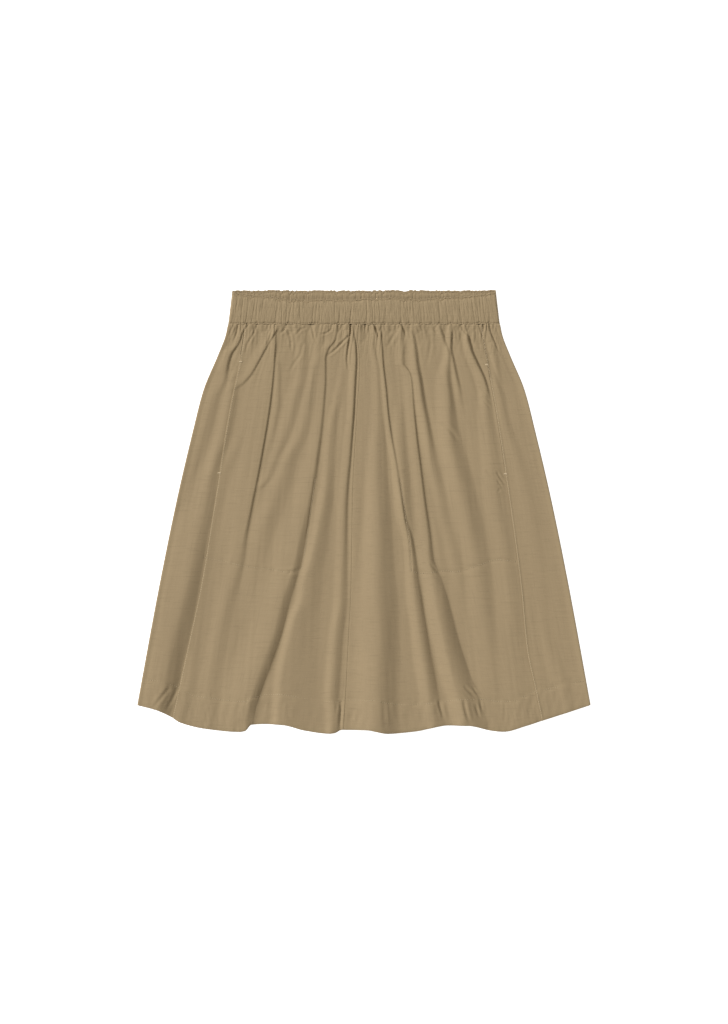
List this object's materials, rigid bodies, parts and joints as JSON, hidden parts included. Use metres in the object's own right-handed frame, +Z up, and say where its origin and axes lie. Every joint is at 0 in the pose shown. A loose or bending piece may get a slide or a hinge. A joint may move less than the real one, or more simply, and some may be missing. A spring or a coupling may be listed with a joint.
{
  "type": "a-line skirt with an elastic waist, laid flat",
  "caption": "Gathered knee-length cotton skirt with an elastic waistband and side pockets, laid flat on a surface with its front up.",
  "frame": {"origin": "on the surface that the skirt lies on, under the middle of its outline", "axes": "+X to the viewer's right across the skirt, +Y from the hem to the waist, +Z up out of the front"},
  "size_m": [0.612, 0.5989, 0.0149],
  "materials": {
    "poplin": "matte khaki cotton poplin, plain weave with fine slubs",
    "pocketing": "matte light cotton pocketing",
    "thread": "spun polyester sewing thread, slightly lighter than the cloth"
  },
  "bodies": {
    "root": {"waistband_front": "poplin", "waistband_back": "poplin", "front_left": "poplin", "front_right": "poplin", "back": "poplin", "pocket_bag_left": "pocketing", "pocket_bag_right": "pocketing"}
  },
  "joints": []
}
